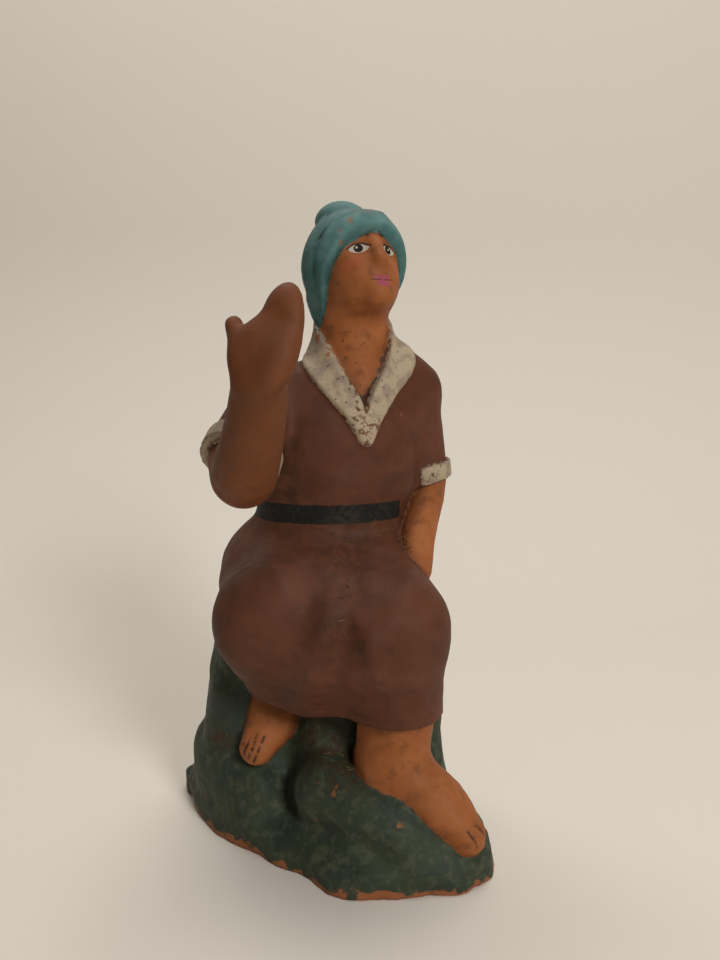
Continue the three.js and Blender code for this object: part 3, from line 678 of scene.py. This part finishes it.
class Paint:
    """A material whose paint is worked out by sums on sockets."""

    def __init__(self, name):
        self.material = bpy.data.materials.new(name)
        self.material.use_nodes = True
        self.tree = self.material.node_tree
        self.shader = self.tree.nodes["Principled BSDF"]
        self.place = self.node("ShaderNodeTexCoord").outputs["Object"]
        self.place_mm = self.vector("MULTIPLY", self.place, (1000, 1000, 1000))

    def node(self, kind, **settings):
        made = self.tree.nodes.new(kind)
        for key, value in settings.items():
            setattr(made, key, value)
        return made

    def put(self, socket, value):
        """A plain value goes on the socket itself, another socket is linked to it."""
        if isinstance(value, bpy.types.NodeSocket):
            self.tree.links.new(value, socket)
        else:
            socket.default_value = value

    def sum(self, operation, *values):
        made = self.node("ShaderNodeMath", operation=operation)
        for socket, value in zip(made.inputs, values):
            self.put(socket, value)
        return made.outputs[0]

    def vector(self, operation, *values):
        made = self.node("ShaderNodeVectorMath", operation=operation)
        for socket, value in zip(made.inputs, values):
            self.put(socket, value)
        return made.outputs["Value" if operation in ("DOT_PRODUCT", "LENGTH", "DISTANCE") else "Vector"]

    def rise(self, value, low, high):
        """0 below low, 1 above high and an even curve between."""
        made = self.node("ShaderNodeMapRange", interpolation_type="SMOOTHSTEP")
        for key, number in (("Value", value), ("From Min", low), ("From Max", high)):
            self.put(made.inputs[key], number)
        return made.outputs["Result"]

    def number(self, name):
        return self.node("ShaderNodeAttribute", attribute_name=name).outputs["Fac"]

    def own_axes(self, centre, columns):
        """Where a point lies along each of a form's own axes, in millimetres."""
        off = self.vector("SUBTRACT", self.place_mm, tuple(centre))
        return [self.vector("DOT_PRODUCT", off, tuple(column)) for column in columns.T]

    def stroke(self, start, end, width, place=None):
        """The share of a straight brush stroke, which fades over its outer half."""
        way = np.subtract(end, start)
        off = self.vector("SUBTRACT", place or self.place_mm, tuple(start))
        share = self.sum("DIVIDE", self.vector("DOT_PRODUCT", off, tuple(way)), float(way @ way))
        share.node.use_clamp = True
        away = self.vector("DISTANCE", off, self.vector("MULTIPLY", share, tuple(way)))
        return self.rise(away, width * 0.75, width * 0.25)

    def spot(self, centre, radius):
        """1 in the middle of a round patch and 0 at its radius."""
        return self.rise(self.vector("DISTANCE", self.place_mm, tuple(centre)), radius, radius * 0.2)

    def patches(self, size, low, high, detail=3.0):
        """Uneven patches of about that many millimetres, with soft edges between low and high."""
        return self.rise(self.noise(size, detail), low, high)

    def noise(self, size, detail=3.0, roughness=0.55):
        """Uneven values round 0.5, in patches of about that many millimetres."""
        made = self.node("ShaderNodeTexNoise")
        self.put(made.inputs["Vector"], self.place)
        for key, value in (("Scale", 1000 / size), ("Detail", detail), ("Roughness", roughness)):
            self.put(made.inputs[key], value)
        return made.outputs["Fac"]

    def over(self, share, under, top):
        """The top colour laid over the under colour by that share."""
        made = self.node("ShaderNodeMix", data_type="RGBA")
        self.put(made.inputs["Factor"], share)
        self.put(made.inputs[6], under)
        self.put(made.inputs[7], top)
        return made.outputs[2]


def colour(red, green, blue):
    """A display colour in 0 to 255 as linear light."""
    def linear(value):
        share = value / 255
        return share / 12.92 if share <= 0.04045 else ((share + 0.055) / 1.055) ** 2.4
    return (linear(red), linear(green), linear(blue), 1.0)
# Colours of the paint, as seen in even light; some of the darker and lighter ones are also laid on as painted
# shade and painted highlight

SKIN = colour(148, 86, 44)
SKIN_WORN = colour(164, 100, 57)
SKIN_DARK = colour(92, 52, 28)
# A darker skin tone, laid on the raised arm as painted shade
SKIN_SHADE = colour(86, 46, 23)
TUNIC = colour(86, 47, 28)
TUNIC_PINK = colour(101, 60, 42)
TUNIC_DARK = colour(54, 32, 22)
SCARF = colour(68, 106, 106)
SCARF_LIGHT = colour(92, 128, 124)
# A dark green for stains on the scarf and a cuff, also laid in the scarf's creases and hollows as painted
# shade
SCARF_STAIN_AND_SHADE = colour(36, 56, 48)
LINEN = colour(172, 154, 128)
LINEN_THIN = colour(128, 112, 102)
STONE = colour(54, 62, 45)
STONE_LIGHT = colour(80, 86, 64)
STONE_BLUE = colour(44, 52, 46)
BELT = colour(22, 20, 18)
BELT_WORN = colour(46, 41, 35)
CLAY = colour(146, 88, 54)
DIRT = colour(62, 42, 24)
SPECK = colour(48, 31, 20)
STRAW = colour(128, 96, 52)
LIPS = colour(156, 70, 84)
EYE_WHITE = colour(186, 176, 158)
INK = colour(22, 17, 15)
BROW = colour(56, 34, 22)
BLUSH = colour(160, 80, 50)

# The belt is painted round the waist, up to the left arm

BELT_LOW = 46.6
BELT_HIGH = 49.2
BELT_END = 10.0
BELT_BACK = 7.0


def belt_margin(p):
    """How far a point lies inside the belt's stripe, below zero outside it."""
    up = (BELT_HIGH - BELT_LOW) / 2 - np.abs(p[:, 2] - (BELT_HIGH + BELT_LOW) / 2)
    along = np.maximum(BELT_END - p[:, 0], p[:, 1] - BELT_BACK)
    return np.minimum(up, along)


# One skin round the whole figure

figure, forms_of = parts()
lines, values = sampled(figure, (-27, -31, -1.7), (27, 21, 93), GRID_STEP)
corners, faces = skin_round(lines, values)
corners, normals = settled(figure, corners)
near = {name: in_batches(form, corners) for name, form in forms_of.items()}
solid_names = ("rock", "cloth", "flesh", "scarf")
marks = {}
for name in solid_names:
    marks[name] = np.minimum.reduce([near[other] for other in solid_names if other != name]) - near[name]
for name in ("lapels", "cuffs"):
    marks[name] = -near[name]
marks["belt"] = belt_margin(corners)
# How deep each point lies in a crease or hollow, from how near the form comes a little way out along the
# normal, below zero on ridges: the paint darkens creases and hollows by these as painted shade, and lightens
# ridges as painted highlight with rubbed wear
for name, reach in (("creases", 0.7), ("hollow_shade", 3.0)):
    marks[name] = 1 - in_batches(figure, corners + normals * reach) / reach
body = object_from("figure_skin", corners, faces, marks)


def zones(paint):
    """The share of each painted part, with the ragged edge of a brush."""
    ragged = paint.sum("MULTIPLY", paint.sum("SUBTRACT", paint.noise(0.9), 0.5), 0.7)

    def zone(name, shift=0.0, wander=1.0):
        value = paint.sum("MULTIPLY_ADD", ragged, wander, paint.number(name))
        return paint.rise(value, shift - 0.06, shift + 0.06)
    return zone


def face_paint(paint, base):
    """Eyes, brows, lips and blush, with painted shade round the eyes, laid out evenly on both halves of the
    face.
    """
    side, depth, up = paint.own_axes(HEAD, axes_of(turn=HEAD_TURN, tilt=HEAD_TILT))
    flat = paint.node("ShaderNodeCombineXYZ")
    paint.put(flat.inputs["X"], paint.sum("ABSOLUTE", side))
    paint.put(flat.inputs["Z"], up)
    flat = flat.outputs[0]
    front = paint.rise(depth, -1.5, -2.5)

    def oval(x, z, half_width, half_height):
        off = paint.vector("SUBTRACT", flat, (x, 0, z))
        return paint.vector("LENGTH", paint.vector("DIVIDE", off, (half_width, 1, half_height)))

    def lay(base, share, top):
        return paint.over(paint.sum("MULTIPLY", share, front), base, top)

    eye_x, eye_z = EYE[0], EYE[2]
    base = lay(base, paint.sum("MULTIPLY", paint.rise(oval(3.2, -2.0, 1.9, 1.7), 1, 0.2), 0.5), BLUSH)
    # Painted shade round each eye, where the socket sinks
    socket = paint.rise(oval(eye_x, eye_z + 0.2, 1.7, 1.2), 1, 0.5)
    base = lay(base, paint.sum("MULTIPLY", socket, 0.35), SKIN_DARK)
    base = lay(base, paint.rise(oval(eye_x, eye_z, 1.15, 0.58), 1.04, 0.96), EYE_WHITE)
    white = paint.rise(oval(eye_x, eye_z, 1.15, 0.62), 1.1, 0.95)
    iris = paint.rise(oval(eye_x, eye_z + 0.05, 0.55, 0.55), 1.06, 0.94)
    base = lay(base, paint.sum("MULTIPLY", iris, white), INK)
    base = lay(base, paint.rise(oval(eye_x + 0.16, eye_z + 0.2, 0.15, 0.15), 1.2, 0.8), EYE_WHITE)
    lid = [(0.9, eye_z + 0.1), (1.6, eye_z + 0.62), (2.6, eye_z + 0.66), (3.5, eye_z + 0.1)]
    brow = [(0.95, 1.75), (2.3, 2.3), (3.7, 1.7)]
    upper_brow = [(1.5, 2.2), (2.8, 2.5)]
    mouth_corner = [(0.2, MOUTH[2]), (1.5, MOUTH[2] + 0.12)]
    for points, width, tint in ((lid, 0.2, BROW), (brow, 0.42, BROW), (upper_brow, 0.3, BROW)):
        for a, b in zip(points, points[1:]):
            base = lay(base, paint.stroke((a[0], 0, a[1]), (b[0], 0, b[1]), width, flat), tint)
    base = lay(base, paint.rise(oval(0.35, MOUTH[2] + 0.3, 0.9, 0.34), 1.1, 0.8), LIPS)
    base = lay(base, paint.rise(oval(0, MOUTH[2] - 0.42, 1.0, 0.46), 1.1, 0.8), LIPS)
    a, b = mouth_corner
    return lay(base, paint.stroke((a[0], 0, a[1]), (b[0], 0, b[1]), 0.16, flat), SKIN_DARK)


def painted_clay():
    paint = Paint("painted_clay")
    zone = zones(paint)
    # Painted shade in creases and hollows, and ridges for painted highlight with rubbed wear
    creases = paint.rise(paint.number("creases"), 0.05, 0.6)
    ridges = paint.rise(paint.number("creases"), -0.02, -0.3)
    hollow_shade = paint.rise(paint.number("hollow_shade"), 0.1, 0.8)

    def part(share, *factors):
        for factor in factors:
            share = paint.sum("MULTIPLY", share, factor)
        return share

    # Rock

    stone = paint.over(part(paint.patches(4.0, 0.42, 0.62), 0.7), STONE, STONE_BLUE)
    stone = paint.over(part(paint.patches(1.3, 0.48, 0.66), 0.55), stone, STONE_LIGHT)
    # Painted highlight, with rubbed wear, on the rock's ridges
    stone = paint.over(part(ridges, paint.patches(0.7, 0.42, 0.6), 0.6), stone, STONE_LIGHT)
    # Painted shade on the rock's left facet, which faces down and away from the light
    stone = paint.over(part(paint.spot((-14.0, 2.0, 18.0), 6.0), 0.6), stone, STONE_BLUE)
    dirt_line = paint.stroke((-17.4, 2.4, 13.8), (-11.6, -3.2, 14.6), 2.6)
    between_feet = paint.stroke((-2.4, -2.5, 17.6), (2.6, -6.6, 14.0), 7.0)
    for share, strength in ((dirt_line, 0.9), (between_feet, 0.7)):
        stone = paint.over(part(share, paint.patches(0.8, 0.4, 0.56), strength), stone, DIRT)
    height = paint.own_axes((0, 0, 0), np.eye(3))[2]
    worn_up_to = paint.sum("MULTIPLY_ADD", paint.noise(2.4), -5.0, 3.0)
    rim = paint.rise(paint.sum("ADD", height, worn_up_to), 1.5, 1.1)
    stone = paint.over(rim, stone, CLAY)

    # Tunic

    cloth = paint.over(part(paint.patches(7.0, 0.36, 0.66), 0.8), TUNIC, TUNIC_PINK)
    cloth = paint.over(part(paint.patches(3.4, 0.44, 0.74), 0.4), cloth, TUNIC_DARK)
    # Painted highlight, with rubbed wear, on the tunic's ridges
    cloth = paint.over(part(ridges, paint.patches(0.9, 0.4, 0.6), 0.6), cloth, TUNIC_PINK)
    # Painted shade in the tunic's hollows
    cloth = paint.over(part(hollow_shade, paint.patches(1.6, 0.34, 0.6), 0.5), cloth, TUNIC_DARK)
    # Painted shade, with dust, down the valley of the lap
    lap_dust_and_shade = paint.stroke((3.2, -4.2, 45.0), (1.4, -15.8, 34.6), 8.0)
    belt_stain = paint.spot((-4.5, -5.0, 50.5), 5.0)
    # Painted shade low on the lap, under the hang of the right knee
    hem_shade = paint.spot((-2.0, -9.0, 27.0), 6.0)
    for share, strength in ((lap_dust_and_shade, 0.4), (belt_stain, 0.7), (hem_shade, 0.4)):
        cloth = paint.over(part(share, paint.patches(1.6, 0.36, 0.64), strength), cloth, TUNIC_DARK)
    strap = paint.over(part(paint.patches(0.9, 0.5, 0.68), 0.6), BELT, BELT_WORN)
    worn_middle = part(paint.spot((2.6, -4.2, 47.8), 3.5), paint.patches(0.8, 0.4, 0.55))
    strap = paint.over(worn_middle, strap, BELT_WORN)
    cloth = paint.over(zone("belt", 0.0, 0.8), cloth, strap)

    # Bare skin

    bare = paint.over(part(paint.patches(5.0, 0.44, 0.62), 0.7), SKIN, SKIN_WORN)
    bare = paint.over(part(paint.patches(1.8, 0.52, 0.7), 0.4), bare, SKIN_DARK)
    # Painted shade in the skin's creases and hollows
    bare = paint.over(part(creases, 0.5), bare, SKIN_DARK)
    bare = paint.over(part(hollow_shade, 0.45), bare, SKIN_DARK)
    neckline = paint.stroke((4.0, -2.4, 70.6), (4.8, -4.4, 61.4), 5.0)
    for share in (neckline, paint.spot((20.0, -12.0, 6.0), 3.5)):
        bare = paint.over(part(share, paint.patches(0.5, 0.64, 0.7), 0.8), bare, SPECK)
    # Painted shade: the raised forearm, elbow and hand are darkened with a darker skin tone
    raised_arm_shade = paint.stroke(RIGHT_FOREARM, shifted(RIGHT_WRIST, 1.0, -2.0, 6.0), 22.0)
    elbow_shade = paint.stroke(RIGHT_ELBOW, RIGHT_FOREARM, 16.0)
    bare = paint.over(part(paint.sum("MAXIMUM", raised_arm_shade, elbow_shade), 0.75), bare, SKIN_SHADE)
    # Painted shade down the hollow of the back of the raised hand
    hand_hollow_shade = paint.stroke((-6.6, -26.0, 62.0), (-4.6, -27.4, 71.0), 3.4)
    bare = paint.over(part(hand_hollow_shade, 0.45), bare, SKIN_DARK)
    for gap in TOE_GAPS:
        for a, b in zip(gap, gap[1:]):
            bare = paint.over(part(paint.stroke(a, b, 0.42), paint.patches(0.6, 0.34, 0.5), 0.8), bare, SPECK)
    bare = face_paint(paint, bare)

    # Collar and cuffs

    linen = paint.over(part(paint.patches(1.8, 0.46, 0.64), 0.6), LINEN, LINEN_THIN)
    # Painted shade in the collar's creases, in the tunic's brown
    linen = paint.over(part(creases, paint.patches(0.8, 0.36, 0.52), 0.9), linen, TUNIC)
    linen = paint.over(part(paint.patches(0.6, 0.64, 0.7), 0.8), linen, SPECK)
    linen = paint.over(part(paint.spot((-11.5, -7.0, 57.0), 3.4), 0.6), linen, SCARF_STAIN_AND_SHADE)
    worn_tip = part(paint.spot((5.6, -4.4, 58.5), 4.0), paint.patches(0.9, 0.5, 0.6))
    linen = paint.over(worn_tip, linen, TUNIC_PINK)

    # Headscarf

    kerchief = paint.over(part(paint.patches(3.0, 0.4, 0.62), 0.7), SCARF, SCARF_LIGHT)
    # Painted highlight on the scarf's ridges
    kerchief = paint.over(part(ridges, paint.patches(0.8, 0.36, 0.56), 0.8), kerchief, SCARF_LIGHT)
    # Painted shade, with grime, in the scarf's creases and hollows
    kerchief = paint.over(part(creases, paint.patches(1.0, 0.3, 0.55), 0.85), kerchief, SCARF_STAIN_AND_SHADE)
    kerchief = paint.over(part(hollow_shade, 0.4), kerchief, SCARF_STAIN_AND_SHADE)
    kerchief = paint.over(part(paint.spot((5.0, -0.5, 88.0), 3.2), 0.45), kerchief, LINEN_THIN)
    kerchief = paint.over(part(ridges, paint.patches(1.4, 0.6, 0.68), 0.9), kerchief, CLAY)

    # All parts together, with bare clay where the paint has chipped

    base = paint.over(zone("cloth"), stone, cloth)
    base = paint.over(zone("flesh"), base, bare)
    base = paint.over(zone("scarf"), base, kerchief)
    base = paint.over(zone("lapels", -0.12), base, linen)
    base = paint.over(zone("cuffs", -0.1), base, linen)
    chips = part(ridges, paint.patches(2.0, 0.66, 0.7))
    base = paint.over(chips, base, CLAY)
    paint.put(paint.shader.inputs["Base Color"], base)
    roughness = paint.sum("MULTIPLY_ADD", paint.noise(1.4), 0.3, 0.5)
    paint.put(paint.shader.inputs["Roughness"], roughness)
    paint.put(paint.shader.inputs["Specular IOR Level"], 0.25)
    bump = paint.node("ShaderNodeBump")
    paint.put(bump.inputs["Height"], paint.noise(0.45, 4.0, 0.7))
    paint.put(bump.inputs["Distance"], 0.00006)
    paint.put(bump.inputs["Strength"], 0.7)
    paint.put(paint.shader.inputs["Normal"], bump.outputs[0])
    return paint.material


body.data.materials.append(painted_clay())
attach(body, "root")
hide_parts("figure")

# Bits of straw and dirt, stuck on the figure where they have gathered

DUST_PATHS = [
    ([(6.5, -2.3, 46.2), (8.6, -0.6, 45.1), (10.7, -0.4, 43.7), (11.3, -1.7, 42.6)], 1.0, 26),
    ([(3.2, -4.2, 44.5), (2.8, -8.0, 42.7), (2.6, -11.5, 41.1), (1.2, -15.8, 34.9)], 1.3, 34),
    ([(-1.4, -2.3, 18.4), (1.7, -3.9, 15.5), (3.2, -7.2, 13.7)], 1.6, 40),
    ([(-16.6, 1.9, 14.3), (-14.2, 0.8, 14.1), (-11.4, -3.2, 15.3)], 1.0, 16),
]
STRAW_LENGTH = (0.5, 1.5)
STRAW_RADIUS = (0.05, 0.08)
STRAW_GAP = 0.1


def straw(rng, centre):
    """The nine corners of a short bent straw along the surface, or none where it can't lie."""
    way = rng.normal(0, 1, 3)
    way *= rng.uniform(*STRAW_LENGTH) / 2 / np.linalg.norm(way)
    spine = np.array([centre - way, centre + rng.normal(0, 0.1, 3), centre + way])
    spine, up = settled(figure, spine, rounds=8)
    if np.abs(figure(spine)).max() > STRAW_GAP:
        return None
    across = np.cross(up, spine[2] - spine[0])
    across /= np.maximum(np.linalg.norm(across, axis=1, keepdims=True), 1e-6)
    radius = rng.uniform(*STRAW_RADIUS)
    turns = [math.radians(90 + 120 * k) for k in range(3)]
    return np.concatenate([spine + radius * (math.sin(t) * up + math.cos(t) * across) for t in turns])


def straw_dust():
    rng = np.random.default_rng(7)
    straws = []
    for path, spread, count in DUST_PATHS:
        middle = smooth_path(path)
        for _ in range(count):
            centre = middle[rng.integers(len(middle))] + rng.normal(0, spread * 0.5, 3)
            straws.append(straw(rng, centre))
    straws = [corners for corners in straws if corners is not None]
    sides = [(3 * k, 3 * ((k + 1) % 3)) for k in range(3)]
    faces = np.array([(a + n, a + n + 1, b + n + 1, b + n) for a, b in sides for n in range(2)])
    faces = np.concatenate([faces + 9 * k for k in range(len(straws))])
    dust = object_from("straw_dust", np.concatenate(straws), faces, smooth=False)
    paint = Paint("straw")
    paint.put(paint.shader.inputs["Base Color"], paint.over(paint.patches(1.2, 0.4, 0.6), STRAW, SPECK))
    paint.put(paint.shader.inputs["Roughness"], 0.7)
    dust.data.materials.append(paint.material)
    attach(dust, "root")


straw_dust()

# A sheet of paper lies under the figure and bends up well behind it, so that its back can be seen too

SWEEP_WIDTH = 2.4
SWEEP_FRONT = -1.6
SWEEP_BACK = 0.21
SWEEP_HEIGHT = 0.5
SWEEP_BEND = 0.12
BEND_STEPS = 12

profile = [(SWEEP_FRONT, 0.0)]
for step in range(BEND_STEPS + 1):
    turn = math.radians(90 * step / BEND_STEPS)
    profile.append((SWEEP_BACK - SWEEP_BEND + SWEEP_BEND * math.sin(turn), SWEEP_BEND * (1 - math.cos(turn))))
profile.append((SWEEP_BACK, SWEEP_HEIGHT))
sweep_corners = np.array([(x, y, z) for y, z in profile for x in (-SWEEP_WIDTH / 2, SWEEP_WIDTH / 2)]) * 1000
sweep_faces = np.array([(2 * k, 2 * k + 1, 2 * k + 3, 2 * k + 2) for k in range(len(profile) - 1)])
sweep = object_from("paper_sweep", sweep_corners, sweep_faces)
paper = Paint("paper")
paper.put(paper.shader.inputs["Base Color"], colour(226, 219, 208))
paper.put(paper.shader.inputs["Roughness"], 0.9)
sweep.data.materials.append(paper.material)
sweep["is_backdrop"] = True

# Light


def lamp(name, place, aim, size, power, tint):
    light = bpy.data.lights.new(name, "AREA")
    light.shape = "DISK"
    light.size = size
    light.energy = power
    light.color = tint
    holder = bpy.data.objects.new(name, light)
    holder.location = place
    holder.rotation_euler = (Vector(aim) - Vector(place)).to_track_quat("-Z", "Y").to_euler()
    bpy.context.scene.collection.objects.link(holder)


MIDDLE = (0, 0, 0.045)
lamp("window_light", (0.25, -0.42, 0.3), MIDDLE, 0.16, 1.7, (1.0, 0.98, 0.95))
lamp("ceiling_light", (0.05, 0.02, 0.6), MIDDLE, 0.3, 1.1, (1.0, 0.97, 0.93))
lamp("wall_light", (-0.14, 0.15, 0.42), MIDDLE, 0.2, 0.35, (1.0, 0.97, 0.93))
world = bpy.context.scene.world or bpy.data.worlds.new("room")
bpy.context.scene.world = world
world.use_nodes = True
world.node_tree.nodes["Background"].inputs["Color"].default_value = (1.0, 0.98, 0.95, 1)
world.node_tree.nodes["Background"].inputs["Strength"].default_value = 0.077

# Camera

CAMERA_PLACE = (0.0045, -0.1065, 0.0669)
CAMERA_DOWN = 8.0
IMAGE_HEIGHT = 960
FOCAL_PIXELS = 790
SENSOR = 36
lens = bpy.data.cameras.new("camera")
lens.lens = FOCAL_PIXELS / IMAGE_HEIGHT * SENSOR
lens.sensor_width = SENSOR
lens.clip_start = 0.005
camera = bpy.data.objects.new("camera", lens)
camera.location = CAMERA_PLACE
camera.rotation_euler = (math.radians(90 - CAMERA_DOWN), 0, 0)
bpy.context.scene.collection.objects.link(camera)
bpy.context.scene.camera = camera
bpy.context.scene.view_settings.view_transform = "Standard"

boxes = {"at_load": box_at_load, "at_finish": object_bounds()}
sizes = {when: [list(corner) for corner in box] for when, box in boxes.items()}
